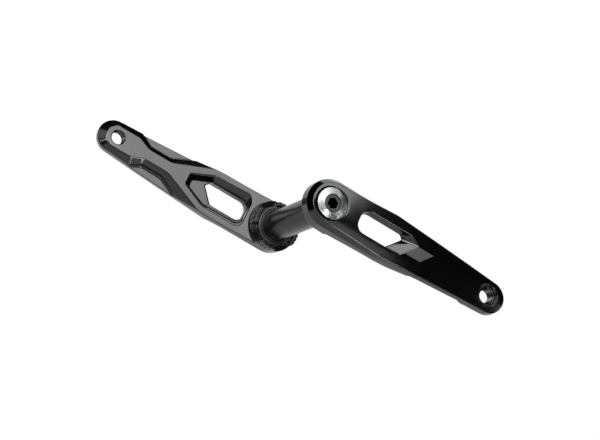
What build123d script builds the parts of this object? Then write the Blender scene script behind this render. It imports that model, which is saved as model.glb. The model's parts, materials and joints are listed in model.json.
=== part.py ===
from build123d import *
import os
from math import atan2, cos, degrees, radians, sin, tan

os.makedirs("parts", exist_ok=True)

# A bicycle crankset: two crank arms, half a turn apart, on one hollow spindle.
# The origin is on the spindle axis, midway between the arms.
# +X runs along the non-drive arm to its pedal, +Y along the spindle to the drive arm, +Z is up.
# Distances along the spindle are measured outwards from the middle plane, the same way for both arms.

# Driving dimensions, in millimetres and degrees

# Crank length and stance
ARM_LENGTH = 175.0  # spindle axis to pedal axis
FACE_AT_SPINDLE = 69.4  # crest of the outer face on the spindle axis
FACE_AT_PEDAL = 84.4  # crest of the outer face on the pedal axis

# Arm outline: three round ends with straight flanks between them
BOSS_R = 24.2
HIP_AT = 62.0
HIP_R = 24.2
TOE_AT = ARM_LENGTH + 3.3  # the toe's round end, just past the pedal axis
TOE_R = 16.2
FORGING_DRAFT = 0.4  # flanks widen towards the inner side

# Bevel round the outer face, widest at the spindle boss
BEVEL_DEPTH = 6.0
BOSS_BEVEL = 5.3
HIP_BEVEL = 1.0
TOE_BEVEL = 0.7
FACE_EDGE_R = 0.8
FACE_BOW = 2.0  # how far the outer face bows out between the spindle and the pedal
FACE_CROWN = 1.8  # how far it falls away from its crest to the hips

# Thickness, square to the outer face
ARM_THICK = 12.6
SKIN_THICK = 5.75  # left under the window floor and the side scallops
BEND_AT = 68.0  # from here to the spindle the inner side curves away
BEND_R = 480.0

# Rib on the inner side, from the hips to the pedal eye
RIB_SPREAD_AT = 76.5
RIB_SPREAD = 22.6
WAIST_START = 116.0
WAIST_END = ARM_LENGTH - 32.2
WAIST = 5.4
EYE_START = ARM_LENGTH - 19.5
EYE_WIDTH = 10.9
RIB_BEVEL = 62.0
WAIST_ROOT_R = 12.0  # hollow corners of the rib, where it meets the skin
EYE_ROOT_R = 5.0
EYE_CORNER_R = 8.0
EYE_END_R = 10.4
RIB_EDGE_R = 2.0

# Scallops beside the rib
SCALLOP_TOE_IN = 99.7
SCALLOP_START = 119.4
SCALLOP_END = ARM_LENGTH - 33.3
SCALLOP_TOE_OUT = ARM_LENGTH - 17.2
SCALLOP_GAP = 10.7
SCALLOP_EDGE = 20.5
SCALLOP_CURVE_R = 7.0
SCALLOP_SLOPE = 8.0
SCALLOP_ROOT_R = 2.4  # hollow corner between wall and floor

# Window pocket on the inner side
POCKET_START = 28.8
POCKET_WIDTH = 12.0
POCKET_TAPER_AT = 71.5
POCKET_TIP_AT = 90.5
POCKET_TIP_WIDTH = 3.6
POCKET_SLOPE = 38.0
POCKET_CORNER_R = 7.5
POCKET_TIP_R = 3.0
POCKET_EDGE_R = 1.6

# Through hole and the flared window on the outer face
HOLE_START = 29.4
HOLE_WIDTH = 9.5
HOLE_SHOULDER_AT = 73.0
HOLE_TIP_AT = 76.5
HOLE_TIP_RISE = 5.8
HOLE_HEEL_AT = 63.8
HOLE_CORNER_R = 7.5
HOLE_SHOULDER_R = 3.0
HOLE_TIP_R = 1.5
HOLE_HEEL_R = 3.75
RIM_START = 29.0
RIM_WIDTH = 12.0
RIM_SHOULDER_AT = 84.5
RIM_TIP_AT = 93.0
RIM_TIP_RISE = 5.5
RIM_HEEL_AT = 78.5
RIM_CORNER_R = 9.0
RIM_TIP_R = 1.5
RIM_HEEL_R = 4.5
RIM_EDGE_R = 0.8

# Pedal eye
PEDAL_THREAD_D = 14.29
PEDAL_SEAT_D = 22.0
PEDAL_SEAT = 82.2
PEDAL_LEAD_IN = 1.0  # chamfer at the mouth of the thread

# Spindle boss and spindle
BOSS_FACE = 51.6
BOSS_SEAT_R = 26.2
SPINDLE_D = 28.99
SPINDLE_BORE_D = 22.0
SPINDLE_END_WALL = 4.5  # arm wall left outside the pressed end of the spindle
THREAD_RUNOUT = 4.0

# Chainring crown on the drive arm
CROWN_LUGS = 4
LUG_ANGLE = 42.0
LUG_R = 24.3
LUG_FACE = 45.2
LUG_ROOT = 0.5  # how far the lugs and the collar are rooted in the boss
LUG_FLUTES = 3
FLUTE_PITCH = 9.5
FLUTE_R = 1.1
FLUTE_DEPTH = 0.7
LUG_GROOVE = 1.0  # between the lugs and the collar
COLLAR_R = 19.5
COLLAR_FACE = 46.4
COLLAR_EDGE_R = 1.2

# Spline, bolt and extractor cap in the non-drive arm
SPLINE_TEETH = 24
SPLINE_ROOT_D = 25.0
SPLINE_TIP_D = 27.4
SPLINE_LENGTH = 8.0
SPLINE_CLEARANCE = 0.05
DRAW_GAP = 1.0  # left between the spindle end and the web, so that the bolt can draw the arm on
WEB_THICK = 2.7
BOLT_D = 18.0
BOLT_HOLE_CLEARANCE = 0.3
BOLT_REACH = 20.0  # threaded length in the spindle
BOLT_BORE_D = 9.0
HEAD_D = 26.0
HEAD_THICK = 1.6
NOSE_D = 17.4
NOSE_PROUD = 2.7
NOSE_CHAMFER = 0.6
WASHER_THICK = 0.6
GLIDE_THICK = 0.4
CAP_D = 31.2
CAP_THICK = 2.9  # at the hole, where the cap is highest
CAP_CROWN = 0.9
CAP_HOLE_D = 18.0
SOCKET_AF = 10.0
SOCKET_DEPTH = 7.0
SOCKET_TURN = 30.0
THREAD_EDGE = 0.5

# Worked out from the sizes above

FACE_TILT = degrees(atan2(FACE_AT_PEDAL - FACE_AT_SPINDLE, ARM_LENGTH))
FAR = 2 * ARM_LENGTH
FLOOR = -SKIN_THICK
PLATEAU = -ARM_THICK
FACE_HALF_WIDTH = HIP_R - HIP_BEVEL
CROWN_R = (FACE_HALF_WIDTH**2 + FACE_CROWN**2) / (2 * FACE_CROWN)
SPINDLE_SEAT = FACE_AT_SPINDLE - SPINDLE_END_WALL
SPLINE_END = BOSS_FACE + SPLINE_LENGTH
WEB_INNER = SPLINE_END + DRAW_GAP
WEB_OUTER = WEB_INNER + WEB_THICK
HEAD_SEAT = WEB_OUTER + WASHER_THICK
HEAD_TOP = HEAD_SEAT + HEAD_THICK
NOSE_TOP = HEAD_TOP + NOSE_PROUD
CAP_SEAT = HEAD_TOP + GLIDE_THICK
CAP_TOP = CAP_SEAT + CAP_THICK


def widened(size, depth, slope):
    """Half width of a sloping wall at some depth from where it has the given size."""
    return size + depth * tan(radians(slope))


def rounded(points, radii):
    """A closed outline through the points, each corner with its own radius."""
    outline = FilletPolyline(*points, radius=radii, close=True)
    return make_face(outline.edges())


def flared(outline, height, slope):
    """A prism on the outline that widens all round by the slope, measured from upright."""
    far_end = offset(outline, widened(0, abs(height), slope))
    return loft([outline, Pos(0, 0, height) * far_end], ruled=True)


# One crank arm, in the frame of its outer face:
# x along the face from the spindle axis, y across it, z out of it


def arm_outline(level, boss, hip, toe):
    """The arm seen square to its face, widest at the hips, with the boss round the spindle axis."""
    ends = (Pos(level * tan(radians(FACE_TILT)), 0) * Circle(boss)).edges()
    ends += (Pos(HIP_AT, 0) * Circle(hip)).edges()
    ends += (Pos(TOE_AT, 0) * Circle(toe)).edges()
    return Pos(0, 0, level) * make_hull(ends)


def face_barrel():
    """A barrel whose skin is the outer face, bowed along the arm and across it."""
    bow_r = ((ARM_LENGTH / 2) ** 2 + FACE_BOW**2) / (2 * FACE_BOW)
    fall = FACE_BOW - bow_r + (bow_r**2 - ARM_LENGTH**2) ** 0.5
    ends = [(-ARM_LENGTH / 2, fall), (3 * ARM_LENGTH / 2, fall)]
    crest = ThreePointArc(ends[0], (ARM_LENGTH / 2, FACE_BOW), ends[1])
    sides = Polyline(ends[1], (ends[1][0], -CROWN_R), (ends[0][0], -CROWN_R), ends[0])
    half = Plane.XZ * make_face([crest, sides])
    middle = Axis((0, 0, -CROWN_R), (1, 0, 0))
    return revolve(half, middle).rotate(middle, 180)


def arm_blank():
    """The forging: drafted flanks, and a bevel that runs up to the bowed outer face."""
    depth = 2 * ARM_THICK
    draft = widened(0, depth, FORGING_DRAFT)
    carry = 1 + FACE_BOW / BEVEL_DEPTH
    top = arm_outline(
        FACE_BOW,
        BOSS_R - carry * BOSS_BEVEL,
        HIP_R - carry * HIP_BEVEL,
        TOE_R - carry * TOE_BEVEL,
    )
    shoulder = arm_outline(-BEVEL_DEPTH, BOSS_R, HIP_R, TOE_R)
    foot = arm_outline(-BEVEL_DEPTH - depth, BOSS_R + draft, HIP_R + draft, TOE_R + draft)
    blank = loft([foot, shoulder], ruled=True) + loft([shoulder, top], ruled=True)
    blank &= face_barrel()
    return fillet(blank.faces().sort_by(Axis.Z)[-1].edges(), FACE_EDGE_R)


def beyond_inner_side():
    """What lies past the inner side, which is flat from the toe to the bend and then curves away."""
    heel = (-BEND_AT, PLATEAU - BEND_R + (BEND_R**2 - (2 * BEND_AT) ** 2) ** 0.5)
    flat = Line((FAR, PLATEAU), (BEND_AT, PLATEAU))
    bend = TangentArc((BEND_AT, PLATEAU), heel, tangent=(-1, 0))
    below = Polyline(heel, (-BEND_AT, -FAR), (FAR, -FAR), (FAR, PLATEAU))
    return extrude(Plane.XZ * make_face([flat, bend, below]), FAR, both=True)


def rib_envelope():
    """The skin and, raised on it, a rib whose flat top narrows to a waist and widens to the pedal eye."""
    spread_slope = (RIB_SPREAD - WAIST) / (WAIST_START - RIB_SPREAD_AT)
    wide_at = RIB_SPREAD_AT - HIP_R / spread_slope
    drop = ARM_THICK - SKIN_THICK
    flare = widened(0, drop, RIB_BEVEL)
    half = [
        (-FAR, RIB_SPREAD + HIP_R),
        (wide_at, RIB_SPREAD + HIP_R),
        (WAIST_START, WAIST),
        (WAIST_END, WAIST),
        (EYE_START, EYE_WIDTH),
        (TOE_AT + TOE_R / 2, EYE_WIDTH),
    ]
    other = [(x, -y) for x, y in reversed(half)]
    radii = [HIP_R, HIP_R, WAIST_ROOT_R + flare, EYE_ROOT_R + flare, EYE_CORNER_R, EYE_END_R]
    outline = rounded(half + other, radii + radii[::-1])
    rib = Pos(0, 0, PLATEAU) * flared(outline, drop, RIB_BEVEL)
    skin = Pos(0, 0, (FLOOR + FACE_BOW) / 2) * Box(2 * FAR, FAR, SKIN_THICK + FACE_BOW)
    root = Pos(0, 0, PLATEAU) * extrude(outline, -ARM_THICK)
    return rib + skin + root


def scallops():
    """The two hollows beside the waist, down to the skin, open to the flanks of the arm."""
    beyond = SCALLOP_EDGE + HIP_R
    run_in = (SCALLOP_START - SCALLOP_TOE_IN) / (SCALLOP_EDGE - SCALLOP_GAP)
    run_out = (SCALLOP_TOE_OUT - SCALLOP_END) / (SCALLOP_EDGE - SCALLOP_GAP)
    outline = rounded(
        [
            (SCALLOP_START - run_in * (beyond - SCALLOP_GAP), beyond),
            (SCALLOP_START, SCALLOP_GAP),
            (SCALLOP_END, SCALLOP_GAP),
            (SCALLOP_END + run_out * (beyond - SCALLOP_GAP), beyond),
        ],
        [SCALLOP_CURVE_R] * 4,
    )
    hollow = Pos(0, 0, FLOOR) * flared(outline, -ARM_THICK, SCALLOP_SLOPE)
    return [hollow, mirror(hollow, Plane.XZ)]


def pocket():
    """The window's pocket on the inner side, with sloping walls and an upright wall by the spindle."""

    def outline(depth):
        width = widened(POCKET_WIDTH, depth, POCKET_SLOPE)
        tip_width = widened(POCKET_TIP_WIDTH, depth / 2, POCKET_SLOPE)
        tip_at = widened(POCKET_TIP_AT, depth, POCKET_SLOPE)
        half = [(POCKET_START, width), (POCKET_TAPER_AT, width), (tip_at, tip_width)]
        other = [(x, -y) for x, y in reversed(half)]
        corners = [POCKET_CORNER_R, POCKET_CORNER_R, POCKET_TIP_R]
        return Pos(0, 0, FLOOR - depth) * rounded(half + other, corners + corners[::-1])

    return loft([outline(0), outline(2 * ARM_THICK)], ruled=True)


def window():
    """The slot through the arm, which flares to the outer face and ends there in a slanting ramp."""
    rim = rounded(
        [
            (RIM_START, RIM_WIDTH),
            (RIM_SHOULDER_AT, RIM_WIDTH),
            (RIM_TIP_AT, RIM_TIP_RISE),
            (RIM_HEEL_AT, -RIM_WIDTH),
            (RIM_START, -RIM_WIDTH),
        ],
        [RIM_CORNER_R, RIM_CORNER_R, RIM_TIP_R, RIM_HEEL_R, RIM_CORNER_R],
    )
    hole = rounded(
        [
            (HOLE_START, HOLE_WIDTH),
            (HOLE_SHOULDER_AT, HOLE_WIDTH),
            (HOLE_TIP_AT, HOLE_TIP_RISE),
            (HOLE_HEEL_AT, -HOLE_WIDTH),
            (HOLE_START, -HOLE_WIDTH),
        ],
        [HOLE_CORNER_R, HOLE_SHOULDER_R, HOLE_TIP_R, HOLE_HEEL_R, HOLE_CORNER_R],
    )
    flare = loft([Pos(0, 0, FLOOR) * hole, Pos(0, 0, FACE_BOW) * rim], ruled=True)
    shaft = Pos(0, 0, FLOOR) * extrude(hole, -FAR)
    return flare + shaft


# Pieces on the spindle axis, on the non-drive side


def along_spindle(radius, start, end):
    """A round bar on the spindle axis, between two distances from the middle plane."""
    return Pos(0, -(start + end) / 2, 0) * Rot(90, 0, 0) * Cylinder(radius, end - start)


def turned(*profile):
    """A turned piece: each point is a radius and a distance from the middle plane."""
    outline = make_face(Polyline(*[(radius, -out) for radius, out in profile], close=True))
    return revolve(outline, Axis.Y)


def prism_on_spindle(outline, start, end):
    """A prism of the outline along the spindle, between two distances from the middle plane."""
    return extrude(Pos(0, -start, 0) * (Plane.XZ * outline), end - start)


def softened(arm, face):
    """The arm with rounded edges round its scallops, its window, its rib and the mouth of its pocket."""
    outwards = Axis((0, 0, 0), face.z_dir)
    bend_drop = BEND_R - (BEND_R**2 - (BEND_AT - POCKET_START) ** 2) ** 0.5
    mouth_depth = ARM_THICK - SKIN_THICK + bend_drop
    mouth_width = widened(POCKET_WIDTH, mouth_depth, POCKET_SLOPE)
    mouth_tip = widened(POCKET_TIP_AT, mouth_depth, POCKET_SLOPE)

    def place(piece):
        return face.to_local_coords(piece).center()

    def flats():
        return arm.faces().filter_by(outwards).sort_by(outwards)

    def round_mouth(edge):
        return abs(place(edge).Y) < mouth_width and POCKET_START - POCKET_EDGE_R < place(edge).X < mouth_tip

    for side in (-1, 1):
        floor = [flat for flat in flats() if side * place(flat).Y > SCALLOP_GAP][0]
        arm = fillet(floor.edges().sort_by(SortBy.LENGTH)[:-1], SCALLOP_ROOT_R)
    outside = arm.faces().sort_by(outwards)[-1]
    arm = fillet(outside.inner_wires()[0].edges(), RIM_EDGE_R)
    plain = [edge for edge in flats()[0].edges() if edge.geom_type != GeomType.BSPLINE]
    arm = fillet([edge for edge in plain if place(edge).X > RIB_SPREAD_AT], RIB_EDGE_R)
    round_sides = arm.faces().filter_by(GeomType.CYLINDER)
    bend = [side for side in round_sides if place(side).Z < PLATEAU and place(side).X > POCKET_START]
    mouth = [edge for side in [flats()[0]] + bend for edge in side.edges() if round_mouth(edge)]
    return fillet(mouth, POCKET_EDGE_R)


def bare_arm():
    """An arm before its spindle end is machined, on the non-drive side, with its pedal eye."""
    tilt = radians(FACE_TILT)
    face = Plane(
        origin=(0, -FACE_AT_SPINDLE, 0),
        x_dir=(cos(tilt), -sin(tilt), 0),
        z_dir=(-sin(tilt), -cos(tilt), 0),
    )
    blank = arm_blank()
    web = (blank - beyond_inner_side()) & rib_envelope()
    for hollow in scallops():
        web -= hollow
    web -= pocket()
    web -= window()
    boss = (face.location * blank) & along_spindle(BOSS_SEAT_R, BOSS_FACE, FACE_AT_PEDAL)
    inside = Pos(0, FAR / 2 - BOSS_FACE, 0) * Box(FAR, FAR, FAR)
    arm = softened((face.location * web) + boss - inside, face)
    eye = Pos(ARM_LENGTH, 0, 0)
    mouth = PEDAL_THREAD_D / 2 + PEDAL_LEAD_IN
    lead_in = turned((0, PEDAL_SEAT), (mouth, PEDAL_SEAT), (0, PEDAL_SEAT - mouth))
    arm -= eye * along_spindle(PEDAL_THREAD_D / 2, 0, FAR)
    arm -= eye * along_spindle(PEDAL_SEAT_D / 2, PEDAL_SEAT, FAR)
    return arm - eye * lead_in


def crown():
    """The castellated crown for the chainring: fluted lugs round a plain collar."""
    swing = radians(LUG_ANGLE / 2)
    reach = 2 * LUG_R
    sector = make_face(
        Polyline(
            (0, 0),
            (reach * cos(swing), reach * sin(swing)),
            (reach * cos(swing), -reach * sin(swing)),
            close=True,
        )
    )
    outline = (Circle(LUG_R) - Circle(COLLAR_R + LUG_GROOVE)) & sector
    for place in range(LUG_FLUTES):
        turn = (place - (LUG_FLUTES - 1) / 2) * FLUTE_PITCH
        outline -= Rot(0, 0, turn) * Pos(LUG_R + FLUTE_R - FLUTE_DEPTH, 0) * Circle(FLUTE_R)
    lug = prism_on_spindle(outline, LUG_FACE, BOSS_FACE + LUG_ROOT)
    collar = along_spindle(COLLAR_R, COLLAR_FACE, BOSS_FACE + LUG_ROOT)
    collar = fillet(collar.edges().group_by(Axis.Y)[-1], COLLAR_EDGE_R)
    lugs = [Rot(0, turn * 360 / CROWN_LUGS, 0) * lug for turn in range(CROWN_LUGS)]
    return [collar] + lugs


def drive_arm(arm):
    """The drive arm: a blind seat for the spindle, and the crown round it."""
    for piece in crown():
        arm += piece
    return arm - along_spindle(SPINDLE_D / 2, 0, SPINDLE_SEAT)


def spline(clearance):
    """The toothed section of the spindle's non-drive end, grown by a clearance for its seat."""
    section = Circle(SPLINE_ROOT_D / 2 + clearance)
    tooth_width = SPLINE_ROOT_D * sin(radians(180 / SPLINE_TEETH)) / 2
    tooth_tip = SPLINE_TIP_D / 2 + clearance
    tooth = Rectangle(tooth_tip, tooth_width + 2 * clearance, align=(Align.MIN, Align.CENTER))
    for turn in range(SPLINE_TEETH):
        section += Rot(0, 0, turn * 360 / SPLINE_TEETH) * tooth
    return section


def non_drive_arm(arm):
    """The non-drive arm: splined seat, web under the bolt head, and a threaded seat for the extractor cap."""
    arm -= prism_on_spindle(spline(SPLINE_CLEARANCE), 0, WEB_INNER)
    arm -= along_spindle(BOLT_D / 2 + BOLT_HOLE_CLEARANCE, 0, FAR)
    return arm - along_spindle(CAP_D / 2, WEB_OUTER, FAR)


def spindle():
    """Hollow spindle: pressed into the drive arm, ground for bearings, splined and threaded at the end."""
    bar = along_spindle(SPINDLE_D / 2, -SPINDLE_SEAT, BOSS_FACE)
    bar += prism_on_spindle(spline(0), BOSS_FACE, SPLINE_END)
    bar -= along_spindle(SPINDLE_BORE_D / 2, -FAR, SPLINE_END - BOLT_REACH - THREAD_RUNOUT)
    return bar - along_spindle(BOLT_D / 2, -FAR, FAR)


def crank_bolt():
    """Hollow bolt with a flanged head, and a nose with a hexagon socket that shows through the cap."""
    bolt = turned(
        (0, SPLINE_END - BOLT_REACH),
        (BOLT_D / 2 - THREAD_EDGE, SPLINE_END - BOLT_REACH),
        (BOLT_D / 2, SPLINE_END - BOLT_REACH + THREAD_EDGE),
        (BOLT_D / 2, HEAD_SEAT),
        (HEAD_D / 2, HEAD_SEAT),
        (HEAD_D / 2, HEAD_TOP),
        (NOSE_D / 2, HEAD_TOP),
        (NOSE_D / 2, NOSE_TOP - NOSE_CHAMFER),
        (NOSE_D / 2 - NOSE_CHAMFER, NOSE_TOP),
        (0, NOSE_TOP),
    )
    bolt -= along_spindle(BOLT_BORE_D / 2, 0, FAR)
    socket = RegularPolygon(SOCKET_AF / 2, 6, major_radius=False, rotation=SOCKET_TURN)
    return bolt - prism_on_spindle(socket, NOSE_TOP - SOCKET_DEPTH, FAR)


def flat_ring(inner, outer, start, thick):
    """A plain washer on the spindle axis."""
    return along_spindle(outer, start, start + thick) - along_spindle(inner, start, start + thick)


def extractor_cap():
    """Crowned ring, screwed into the arm over the bolt head."""
    return turned(
        (CAP_HOLE_D / 2, CAP_SEAT),
        (CAP_D / 2, CAP_SEAT),
        (CAP_D / 2, CAP_TOP - CAP_CROWN - THREAD_EDGE),
        (CAP_D / 2 - THREAD_EDGE, CAP_TOP - CAP_CROWN),
        (CAP_HOLE_D / 2, CAP_TOP),
    )


bare = bare_arm()
half_turn = Rot(0, 0, 180)
nodes = {
    "drive_arm": half_turn * drive_arm(bare),
    "non_drive_arm": non_drive_arm(bare),
    "spindle": spindle(),
    "crank_bolt": crank_bolt(),
    "bolt_washer": flat_ring(BOLT_D / 2 + BOLT_HOLE_CLEARANCE, HEAD_D / 2, WEB_OUTER, WASHER_THICK),
    "glide_ring": flat_ring(CAP_HOLE_D / 2, HEAD_D / 2, HEAD_TOP, GLIDE_THICK),
    "extractor_cap": extractor_cap(),
}
for name, shape in nodes.items():
    export_step(shape, f"parts/{name}.step")
    print(name, len(shape.solids()), round(shape.volume))
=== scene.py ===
# %% [markdown]
# # A black crankset in a white studio
#
# Two forged crank arms sit half a turn apart on a hollow spindle. The near arm shows its polished outer
# face, with a bolt and a silver cap. The far arm shows its machined inner side. This lesson dresses the
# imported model: it loads the parts, sets the camera, lights the metal, mixes the finishes and cuts the threads.

# %% Load the parts
import json
import math

import bpy
from mathutils import Matrix, Quaternion, Vector

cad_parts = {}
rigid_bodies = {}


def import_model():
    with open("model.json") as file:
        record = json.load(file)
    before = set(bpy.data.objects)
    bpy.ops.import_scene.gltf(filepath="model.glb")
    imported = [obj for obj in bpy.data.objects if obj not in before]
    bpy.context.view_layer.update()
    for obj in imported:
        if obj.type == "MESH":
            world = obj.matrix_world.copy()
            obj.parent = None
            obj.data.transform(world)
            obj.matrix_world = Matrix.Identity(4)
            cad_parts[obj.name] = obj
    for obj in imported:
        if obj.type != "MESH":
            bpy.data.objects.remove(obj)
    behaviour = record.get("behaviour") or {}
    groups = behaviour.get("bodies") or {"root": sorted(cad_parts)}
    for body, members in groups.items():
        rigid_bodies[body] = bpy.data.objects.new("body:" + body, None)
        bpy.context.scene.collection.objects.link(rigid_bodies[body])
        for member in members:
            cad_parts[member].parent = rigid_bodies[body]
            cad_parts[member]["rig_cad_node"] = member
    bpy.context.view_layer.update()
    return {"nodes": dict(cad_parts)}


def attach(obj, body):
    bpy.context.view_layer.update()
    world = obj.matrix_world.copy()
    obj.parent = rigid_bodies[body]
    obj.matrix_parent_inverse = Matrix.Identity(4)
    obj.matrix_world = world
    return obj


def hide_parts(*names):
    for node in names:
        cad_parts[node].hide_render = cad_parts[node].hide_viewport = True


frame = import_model()
print("parts loaded:", ", ".join(sorted(frame["nodes"])))

# %% [markdown]
# ## The camera
#
# The picture was taken with a long lens from below and to the left, and the camera was rolled. A camera can be
# placed by three angles or by a place, an aim and a roll. A place and an aim are easier to check against the
# object, so that is the way used here.

# %% Place the camera
CAMERA_PLACE = Vector((-0.5527, -1.5072, -0.6794))
CAMERA_AIM = Vector((0.3184, 0.8646, 0.3887))
CAMERA_UP = Vector((-0.5141, -0.1871, 0.8371))
FOCAL_PIXELS = 1824
PICTURE_WIDTH = 600
SENSOR_MM = 36.0
NEAREST = 0.01

bpy.ops.object.select_all(action="DESELECT")
bpy.ops.object.camera_add(location=CAMERA_PLACE)
camera = bpy.context.active_object
back = -CAMERA_AIM.normalized()
right = CAMERA_UP.cross(back).normalized()
camera.rotation_euler = Matrix((right, back.cross(right), back)).transposed().to_euler()
camera.data.sensor_fit = "HORIZONTAL"
camera.data.sensor_width = SENSOR_MM
camera.data.lens = SENSOR_MM * FOCAL_PIXELS / PICTURE_WIDTH
camera.data.clip_start = NEAREST
bpy.context.scene.camera = camera
bpy.context.scene.view_settings.view_transform = "Standard"
print("lens", round(camera.data.lens, 1), "mm")

# %% [markdown]
# ## Shader maths
#
# A finish is a net of nodes. Wiring a net by hand hides the sum that it works out, so a small class wraps a
# socket, and plain arithmetic on it adds the Math nodes.


# %% A class for shader maths
class Field:
    """A value that varies over a surface, written into formulas like a number."""

    def __init__(self, net, socket):
        self.net = net
        self.socket = socket

    def math(self, operation, *others):
        values = dict(enumerate([self, *others]))
        return self.net.node("ShaderNodeMath", {"operation": operation}, values)

    def __add__(self, other):
        return self.math("ADD", other)

    def __sub__(self, other):
        return self.math("SUBTRACT", other)

    def __rsub__(self, other):
        return self.math("MULTIPLY_ADD", -1.0, other)

    def __mul__(self, other):
        return self.math("MULTIPLY", other)

    def __truediv__(self, other):
        return self.math("DIVIDE", other)

    __radd__ = __add__
    __rmul__ = __mul__

    def above(self, border, blur):
        """0 below the border and 1 above it, with a soft rise of the blur on each side."""
        settings = {"interpolation_type": "SMOOTHSTEP"}
        values = {"Value": self, "From Min": border - blur, "From Max": border + blur}
        return self.net.node("ShaderNodeMapRange", settings, values)

    def within(self, low, high, blur):
        """1 between two borders and 0 outside them."""
        return self.above(low, blur) * (1 - self.above(high, blur))


class Net:
    """The node net of a finish, of a stage surface or of the world."""

    def __init__(self, owner):
        owner.use_nodes = True
        self.tree = owner.node_tree
        self.tree.nodes.clear()

    def node(self, kind, settings=None, values=None, output=0):
        """Adds a node: its settings first, then the values or links of its sockets."""
        made = self.tree.nodes.new(kind)
        for key, value in (settings or {}).items():
            setattr(made, key, value)
        for key, value in (values or {}).items():
            if isinstance(value, Field):
                self.tree.links.new(value.socket, made.inputs[key])
            else:
                made.inputs[key].default_value = value
        return Field(self, made.outputs[output]) if made.outputs else None

    def parts(self, vector):
        """The X, Y and Z fields of a vector."""
        split = self.tree.nodes.new("ShaderNodeSeparateXYZ")
        self.tree.links.new(vector.socket, split.inputs[0])
        return [Field(self, socket) for socket in split.outputs]

    def mix(self, factor, first, second):
        """A colour between two colours."""
        settings = {"data_type": "RGBA", "clamp_factor": True}
        return self.node("ShaderNodeMix", settings, {0: factor, 6: first, 7: second}, 2)


print("shader maths ready")

# %% [markdown]
# ## The studio
#
# Black metal shows little of its own colour. What is seen is the room in it: a white sweep behind the object,
# a white table below it and a dark room behind the camera. One even white world would turn every face the same
# grey, so here the world is white for the camera, and metal sees white only where the sweep stands.

# %% Light the world
WHITE = (1, 1, 1, 1)
ROOM_DARK = 0.005
SWEEP_BORDER = 0.45
SWEEP_BLUR = 0.10

world = bpy.data.worlds.new("studio")
bpy.context.scene.world = world
net = Net(world)
towards = net.parts(net.node("ShaderNodeTexCoord"))
seen = net.node("ShaderNodeLightPath")
sweep = towards[1].above(SWEEP_BORDER, SWEEP_BLUR)
strength = seen.math("MAXIMUM", sweep * (1 - ROOM_DARK) + ROOM_DARK)
background = net.node("ShaderNodeBackground", None, {"Color": WHITE, "Strength": strength})
net.node("ShaderNodeOutputWorld", None, {"Surface": background})
print("world lit")

# %% [markdown]
# ## The table
#
# The table is what the undersides of the arms reflect, so its edges matter: a black band in the metal begins
# where the table ends. It glows a little for the camera and in the metal, which keeps it pale, and the rest of it
# is plain paint, which takes a shadow. A wide floor just below it, which only the camera sees, hides its corners.

# %% Lay the table
FLOOR_HEIGHT = -0.95
FLOOR_SIZE = (2.4, 5.0)
FLOOR_CENTRE = (0.1, 0.3)
WIDE_FLOOR = 60.0
WIDE_FLOOR_DROP = 0.001
TABLE_PAINT = (0.8, 0.8, 0.8, 1)
TABLE_GLOW = 0.8

white = bpy.data.materials.new("white_table")
net = Net(white)
path = net.tree.nodes.new("ShaderNodeLightPath")
seen = [Field(net, path.outputs[name]) for name in ("Is Camera Ray", "Is Glossy Ray", "Is Transmission Ray")]
shows = seen[0].math("MAXIMUM", seen[1]).math("MAXIMUM", seen[2])
paint = net.node("ShaderNodeBsdfDiffuse", None, {"Color": TABLE_PAINT})
glow = net.node("ShaderNodeEmission", None, {"Color": WHITE, "Strength": 1.0})
table_top = net.node("ShaderNodeMixShader", None, {0: shows * TABLE_GLOW, 1: paint, 2: glow})
net.node("ShaderNodeOutputMaterial", None, {"Surface": table_top})


def lay(name, centre, size):
    """A flat white sheet of the stage."""
    bpy.ops.object.select_all(action="DESELECT")
    bpy.ops.mesh.primitive_plane_add(size=1, location=centre)
    sheet = bpy.context.active_object
    sheet.name = name
    sheet.scale = (*size, 1)
    bpy.ops.object.transform_apply(location=True, rotation=True, scale=True)
    sheet.data.materials.append(white)
    print(name, size, "m, at height", centre[2])
    return sheet


lay("white_table", (*FLOOR_CENTRE, FLOOR_HEIGHT), FLOOR_SIZE)
wide_floor = lay("wide_floor", (0, 0, FLOOR_HEIGHT - WIDE_FLOOR_DROP), (WIDE_FLOOR, WIDE_FLOOR))
wide_floor.visible_glossy = False
wide_floor.visible_diffuse = False
wide_floor.visible_transmission = False
wide_floor.visible_shadow = False

# %% [markdown]
# ## The softboxes
#
# A photographer lights black metal with panels and cards, each placed where one face of the object looks. A ray
# from the camera is bounced off the face, and where it goes, a panel is hung. Large panels give the wide flats
# their even grey, and narrow bright strips draw the thin lines along the edges. No panel shows to the camera.

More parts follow.
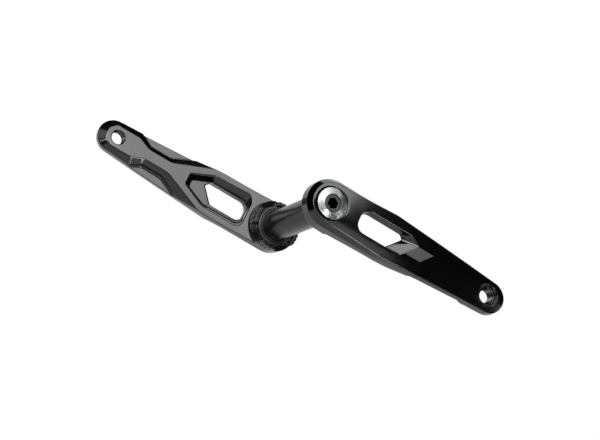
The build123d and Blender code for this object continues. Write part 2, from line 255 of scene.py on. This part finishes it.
# %% Hang the softboxes
# Each row: centre, aim, width, height, roll in degrees, radiance
SOFTBOXES = {
    "key_softbox": ((-0.43, -1.12, 0.75), (-0.1, 0.05, 0.0), 1.3, 0.62, 0, 4.4),  # flats of the far arm
    "ceiling_card": ((-0.08, 0.25, 0.95), (-0.08, 0.25, 0.0), 0.75, 0.22, 25, 2.0),  # top of the near boss
    "low_card": ((-0.15, -1.13, 0.11), (0.05, -0.07, 0.0), 0.9, 0.26, 0, 1.2),  # low half of the near face
    "cap_card": ((0.76, -1.07, 0.33), (0.0, -0.07, 0.0), 0.20, 0.20, 0, 6.0),  # wedge on the cap
    "ramp_card": ((-0.26, -0.44, 0.90), (0.06, -0.07, 0.0), 0.30, 0.28, 0, 4.2),  # ramp in the near window
    "top_strip": ((0.28, -0.64, 0.90), (0.05, -0.07, 0.0), 0.66, 0.20, 0, 2.0),  # upper side of the cap
    "left_strip": ((-0.82, -1.09, 0.05), (0.0, -0.07, 0.0), 0.50, 0.80, 0, 8.0),  # collar of the crown
    "low_strip": ((0.32, -1.10, -0.42), (0.05, -0.07, 0.0), 0.10, 0.50, 0, 8.0),  # edges near the toe
    "front_strip": ((0.19, -1.13, -0.30), (0.05, -0.07, 0.0), 0.14, 0.45, 0, 12.0),  # near arm's lower edge
    "side_card": ((-0.33, -1.13, 0.37), (0.0, -0.07, 0.0), 0.50, 0.22, 0, 4.0),  # left side of the cap
    "toe_panel": ((-1.55, -1.10, 0.25), (-0.19, 0.08, 0.0), 0.50, 0.90, 0, 1.4),  # far arm's toe
}


def softbox(name, centre, aim, width, height, roll, radiance):
    """A flat panel of even light, which faces a point and is turned about its own axis."""
    bpy.ops.object.select_all(action="DESELECT")
    bpy.ops.object.light_add(type="AREA", location=centre)
    lamp = bpy.context.active_object
    lamp.name = name
    lamp.data.shape = "RECTANGLE"
    lamp.data.size = width
    lamp.data.size_y = height
    lamp.data.energy = radiance * math.pi * width * height
    facing = (Vector(aim) - Vector(centre)).to_track_quat("-Z", "Y")
    lamp.rotation_mode = "QUATERNION"
    lamp.rotation_quaternion = facing @ Quaternion((0, 0, 1), math.radians(roll))
    lamp.visible_camera = False


for name, row in SOFTBOXES.items():
    softbox(name, *row)
print(len(SOFTBOXES), "softboxes hung")

# %% [markdown]
# ## Edges and hollows
#
# No real edge is quite sharp, and gloss shows it as a bright line. Rounding every edge in the mesh would cost many
# faces, so the Bevel node rounds the normals in the shading instead. Deep places that no light reaches, such as a
# key's socket, are mixed with a dull black, because gloss inside them would shine where the real one is dark.

# %% Helpers for the finishes
MM = 1000.0
BEVEL_SAMPLES = 8
# A dull black of painted shade, for places where no light reaches
PAINTED_SHADE_BLACK = (0.002, 0.002, 0.002, 1)


def surface(net, settings, painted_shade):
    """A principled surface on the net's output, mixed with a dull black of painted shade where the mask is 1."""
    shine = net.node("ShaderNodeBsdfPrincipled", None, settings)
    dull = net.node("ShaderNodeBsdfDiffuse", None, {"Color": PAINTED_SHADE_BLACK})
    shader = net.node("ShaderNodeMixShader", None, {0: painted_shade, 1: shine, 2: dull})
    net.node("ShaderNodeOutputMaterial", None, {"Surface": shader})


def soft_edges(net, radius):
    """The surface's normal, with its edges rounded in the shading."""
    return net.node("ShaderNodeBevel", {"samples": BEVEL_SAMPLES}, {"Radius": radius})


def length(first, second):
    """The length of a flat vector, from its two parts."""
    return (first * first + second * second).math("SQRT")


def clouds(net, coords, scale, detail):
    """Soft noise from 0 to 1."""
    return net.node("ShaderNodeTexNoise", None, {"Vector": coords, "Scale": scale, "Detail": detail})


print("helpers ready")

# %% [markdown]
# ## Black arms
#
# The arms are forged aluminium, polished, then dyed black and sealed. That gives a black skin with a clear,
# sharp gloss. A slanted patch beyond the window and the crown that carries the chainring are left satin. They
# could be pieces of their own, but they are one metal with the arm, so masks on the arm's own coordinates mark
# them. The drive arm is the same arm half a turn round, so a Mapping node turns its coordinates back. A last mask
# paints shadow into the narrow gap beside the cap, as an off-centre dull black crescent.

# %% Mark the patch and the painted shadow in the gap
SOFT_BORDER = 0.25
SHARP_BORDER = 0.1
FACE_AT_SPINDLE = 69.4
FACE_AT_PEDAL = 84.4
FACE_RISE = (FACE_AT_PEDAL - FACE_AT_SPINDLE) / 175.0
PATCH_SLANT = 0.83
PATCH_START = 88.4
PATCH_END = 104.8
PATCH_LOW = -7.3
PATCH_HIGH = 5.3
PATCH_DEPTH = -1.0
CAP_RIM = 15.8
# The crescent of painted shadow beside the cap: its radius, its offset from the cap's centre and how deep it
# reaches
GAP_SHADOW_RADIUS = 16.9
GAP_SHADOW_SHIFT = (-1.1, -0.8)
GAP_SHADOW_FLOOR = -65.5
GAP_SHADOW_FLOOR_BLUR = 0.5


def patch_mask(along, out, across):
    """1 on the slanted patch of the outer face, beyond the window."""
    slant = along - across * PATCH_SLANT
    depth = along * FACE_RISE + FACE_AT_SPINDLE + out
    patch = slant.within(PATCH_START, PATCH_END, SOFT_BORDER)
    patch = patch * across.within(PATCH_LOW, PATCH_HIGH, SOFT_BORDER)
    return patch * (1 - depth.above(PATCH_DEPTH, SHARP_BORDER))


def gap_shadow_mask(along, out, across):
    """1 on an off-centre crescent of the outer face beside the cap, where shadow is painted."""
    shifted = length(along - GAP_SHADOW_SHIFT[0], across - GAP_SHADOW_SHIFT[1])
    gap_shadow = 1 - shifted.above(GAP_SHADOW_RADIUS, SHARP_BORDER)
    gap_shadow = gap_shadow * length(along, across).above(CAP_RIM, SHARP_BORDER)
    return gap_shadow * (1 - out.above(GAP_SHADOW_FLOOR, GAP_SHADOW_FLOOR_BLUR))


print("masks ready")

# %% Mix the black of the arms
ARM_BLACK = (0.0010, 0.0010, 0.0011, 1)
PATCH_GREY = (0.030, 0.030, 0.031, 1)
CROWN_GREY = (0.012, 0.012, 0.0125, 1)
ARM_ROUGHNESS = 0.10
CLOUD_ROUGHNESS = 0.04
PATCH_ROUGHNESS = 0.38
CROWN_ROUGHNESS = 0.20
ARM_IOR = 1.56
CROWN_DEPTH = 51.5
EDGE_SOFTNESS = 0.0010
THREAD_SOFTNESS = 0.0001
GRAIN_SCALE = 2600.0
GRAIN_HEIGHT = 0.000002
ARM_CLOUD_SCALE = 60.0


def black_arm(name, turn, softness, has_cap):
    """Gloss black, with a satin patch on the outer face beyond the window, a satin crown, and painted shadow beside
    the cap on the arm that has one.
    """
    material = bpy.data.materials.new(name)
    net = Net(material)
    coords = net.node("ShaderNodeTexCoord", None, None, 3)
    local = net.node("ShaderNodeMapping", None, {"Vector": coords, "Rotation": (0, 0, math.radians(turn))})
    along, out, across = [part * MM for part in net.parts(local)]
    patch = patch_mask(along, out, across)
    crown = 1 - out.math("ABSOLUTE").above(CROWN_DEPTH, SOFT_BORDER)
    colour = net.mix(patch, ARM_BLACK, PATCH_GREY)
    colour = net.mix(crown, colour, CROWN_GREY)
    cloud = clouds(net, coords, ARM_CLOUD_SCALE, 3.0) * CLOUD_ROUGHNESS
    grain = clouds(net, coords, GRAIN_SCALE, 2.0)
    bump = {"Distance": GRAIN_HEIGHT, "Height": grain, "Normal": soft_edges(net, softness)}
    surface(net, {
        "Base Color": colour,
        "Roughness": ARM_ROUGHNESS + cloud + patch * PATCH_ROUGHNESS + crown * CROWN_ROUGHNESS,
        "IOR": ARM_IOR,
        "Normal": net.node("ShaderNodeBump", None, bump),
    # Painted shadow: an off-centre dull black crescent beside the cap, on the arm with the cap only
    }, gap_shadow_mask(along, out, across) * has_cap)
    return material


black_drive = black_arm("black_drive_arm", 180, EDGE_SOFTNESS, 0)
black_non_drive = black_arm("black_non_drive_arm", 0, EDGE_SOFTNESS, 1)
black_thread = black_arm("black_thread", 0, THREAD_SOFTNESS, 0)
print("black mixed for both arms and the threads")

# %% [markdown]
# ## Turned metals
#
# The spindle, the bolt and the cap come off a lathe, whose tool leaves rings finer than a hair. They spread a
# reflection across the rings and not along them, which is why the cap shows bright wedges. An anisotropic shader
# gives the same look, but only with tangents. Here a sine wave leans the normal to and fro across the rings, which
# needs no more than the place of a point: its radius on a face, or its place along the spindle.

# %% Mix the turned metals
TURNED_SOFTNESS = 0.0003
METAL_CLOUD_SCALE = 150.0
CLOUD_SHADE = 0.9
CLOUD_SPREAD = 0.1
SOCKET_MOUTH = -68.0
SOCKET_RADIUS = 6.2


def turned_metal(name, colour, metallic, roughness, gloss, ring_axis, ring_pitch, ring_slope):
    """Metal with the fine rings that a lathe leaves, which lean the normal to and fro, with painted shade inside
    the key's socket.
    """
    material = bpy.data.materials.new(name)
    net = Net(material)
    coords = net.node("ShaderNodeTexCoord", None, None, 3)
    x, y, z = net.parts(coords)
    radius = length(x, z)
    wave = y if ring_axis == "length" else radius
    lean = (wave * (2 * math.pi / ring_pitch)).math("SINE") * ring_slope
    if ring_axis == "length":
        sway = net.node("ShaderNodeCombineXYZ", None, {"Y": lean})
    else:
        sway = net.node("ShaderNodeCombineXYZ", None, {"X": x / radius * lean, "Z": z / radius * lean})
    edge = soft_edges(net, TURNED_SOFTNESS)
    normal = net.node("ShaderNodeVectorMath", {"operation": "ADD"}, {0: edge, 1: sway})
    normal = net.node("ShaderNodeVectorMath", {"operation": "NORMALIZE"}, {0: normal})
    cloud = clouds(net, coords, METAL_CLOUD_SCALE, 3.0)
    shade = tuple(CLOUD_SHADE * part for part in colour)
    # Painted shade: a dull black inside the key's socket, within its radius and beyond its mouth
    socket = 1 - (radius * MM).above(SOCKET_RADIUS, SHARP_BORDER)
    socket = socket * (y * MM).above(SOCKET_MOUTH, SHARP_BORDER)
    surface(net, {
        "Base Color": net.mix(cloud, (*shade, 1), (*colour, 1)),
        "Metallic": metallic,
        "Roughness": roughness - CLOUD_SPREAD / 2 + cloud * CLOUD_SPREAD,
        "IOR": gloss,
        "Normal": normal,
    }, socket)
    return material


spindle_black = turned_metal("spindle_black", (0.003, 0.003, 0.0032), 0.0, 0.26, 1.35, "length", 0.0004, 0.02)
bolt_grey = turned_metal("bolt_grey", (0.17, 0.17, 0.175), 1.0, 0.30, 1.5, "radius", 0.0004, 0.05)
cap_silver = turned_metal("cap_silver", (0.64, 0.65, 0.65), 1.0, 0.23, 1.5, "radius", 0.0003, 0.20)
ring_plastic = turned_metal("ring_plastic", (0.03, 0.03, 0.03), 0.0, 0.5, 1.5, "radius", 0.0005, 0.02)
print("metals mixed for the spindle, the bolt, the cap and the ring")

# %% [markdown]
# ## Smooth skins for the parts
#
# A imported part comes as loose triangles, and each would show as a flat facet in the gloss. A copy of the part is
# merged into one skin, shaded smooth up to a set angle, and its normals are weighted by face area, so that wide
# flats stay flat right up to their rounded edges.

# %% Skin every part
MERGE_DISTANCE = 0.000004
SMOOTH_ANGLE = math.radians(28)
AREA_WEIGHT = 50
SKINS = {
    "drive_arm": (black_drive, "black_arm"),
    "non_drive_arm": (black_non_drive, "black_arm"),
    "spindle": (spindle_black, "dark_spindle"),
    "crank_bolt": (bolt_grey, "bolt_steel"),
    "bolt_washer": (bolt_grey, "bolt_steel"),
    "glide_ring": (ring_plastic, "slick_plastic"),
    "extractor_cap": (cap_silver, "silver_cap"),
}


def select_only(piece):
    """Leaves one piece selected and active, for the operators that follow."""
    bpy.ops.object.select_all(action="DESELECT")
    piece.select_set(True)
    bpy.context.view_layer.objects.active = piece


def dress(piece, material, slot):
    """One finish on the piece, which rides on the crankset's only body."""
    piece.data.materials.clear()
    piece.data.materials.append(material)
    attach(piece, "root")


def skin(node):
    """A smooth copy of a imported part, which stands in for it."""
    select_only(frame["nodes"][node])
    bpy.ops.object.duplicate()
    piece = bpy.context.active_object
    piece.name = node + "_skin"
    del piece["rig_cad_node"]
    bpy.ops.object.parent_clear(type="CLEAR_KEEP_TRANSFORM")
    bpy.ops.mesh.customdata_custom_splitnormals_clear()
    bpy.ops.object.mode_set(mode="EDIT")
    bpy.ops.mesh.select_all(action="SELECT")
    bpy.ops.mesh.remove_doubles(threshold=MERGE_DISTANCE)
    bpy.ops.object.mode_set(mode="OBJECT")
    bpy.ops.object.shade_smooth_by_angle(angle=SMOOTH_ANGLE)
    bpy.ops.object.modifier_add(type="WEIGHTED_NORMAL")
    weighting = piece.modifiers[-1]
    weighting.mode = "FACE_AREA"
    weighting.weight = AREA_WEIGHT
    weighting.keep_sharp = True
    bpy.ops.object.modifier_apply(modifier=weighting.name)
    dress(piece, *SKINS[node])
    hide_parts(node)
    return piece


for node in SKINS:
    piece = skin(node)
    print(piece.name, len(piece.data.polygons), "faces")

# %% [markdown]
# ## Pedal threads
#
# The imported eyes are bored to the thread's outside. The thread itself is a ridge that winds down the bore, twenty
# turns to the inch, left-handed on the non-drive side so that pedalling can't unscrew it. It could be a bump in the
# finish, but its crests show against the light in the hole. So the ridge's outline is wound by a Screw modifier,
# and the sign of its offset sets the hand.

# %% Cut the pedal threads
ARM_LENGTH = 0.175
THREAD_PITCH = 0.00127
THREAD_ROOT = 0.00718
THREAD_CREST = 0.00640
ROOT_SHARE = 0.44
CREST_SHARE = 0.07
THREAD_START = 0.0730
THREAD_TURNS = 6
THREAD_STEPS = 64


def pedal_thread(name, side):
    """A ridge wound along one pedal eye: side is 1 for the non-drive arm and -1 for the drive arm."""
    bpy.ops.object.select_all(action="DESELECT")
    bpy.ops.mesh.primitive_circle_add(vertices=4, radius=THREAD_PITCH / 2, location=(0, 0, 0))
    ridge = bpy.context.active_object
    ridge.name = name
    outline = [
        (THREAD_ROOT, -ROOT_SHARE),
        (THREAD_CREST, -CREST_SHARE),
        (THREAD_CREST, CREST_SHARE),
        (THREAD_ROOT, ROOT_SHARE),
    ]
    for vertex, (radius, share) in zip(ridge.data.vertices, outline):
        vertex.co = (radius, share * THREAD_PITCH, 0)
    bpy.ops.object.modifier_add(type="SCREW")
    winding = ridge.modifiers[-1]
    winding.axis = "Y"
    winding.screw_offset = -side * THREAD_PITCH
    winding.iterations = THREAD_TURNS
    winding.steps = THREAD_STEPS
    winding.render_steps = THREAD_STEPS
    bpy.ops.object.modifier_apply(modifier=winding.name)
    bpy.ops.object.mode_set(mode="EDIT")
    bpy.ops.mesh.select_all(action="SELECT")
    bpy.ops.mesh.remove_doubles(threshold=MERGE_DISTANCE)
    bpy.ops.mesh.normals_make_consistent(inside=False)
    bpy.ops.object.mode_set(mode="OBJECT")
    ridge.location = (side * ARM_LENGTH, -side * THREAD_START, 0)
    bpy.ops.object.transform_apply(location=True, rotation=True, scale=True)
    bpy.ops.object.shade_smooth_by_angle(angle=SMOOTH_ANGLE)
    dress(ridge, black_thread, "black_arm")
    low, high = Vector(ridge.bound_box[0]), Vector(ridge.bound_box[6])
    print(name, [round(v * MM, 2) for v in (*low, *high)])


pedal_thread("pedal_thread_non_drive", 1)
pedal_thread("pedal_thread_drive", -1)
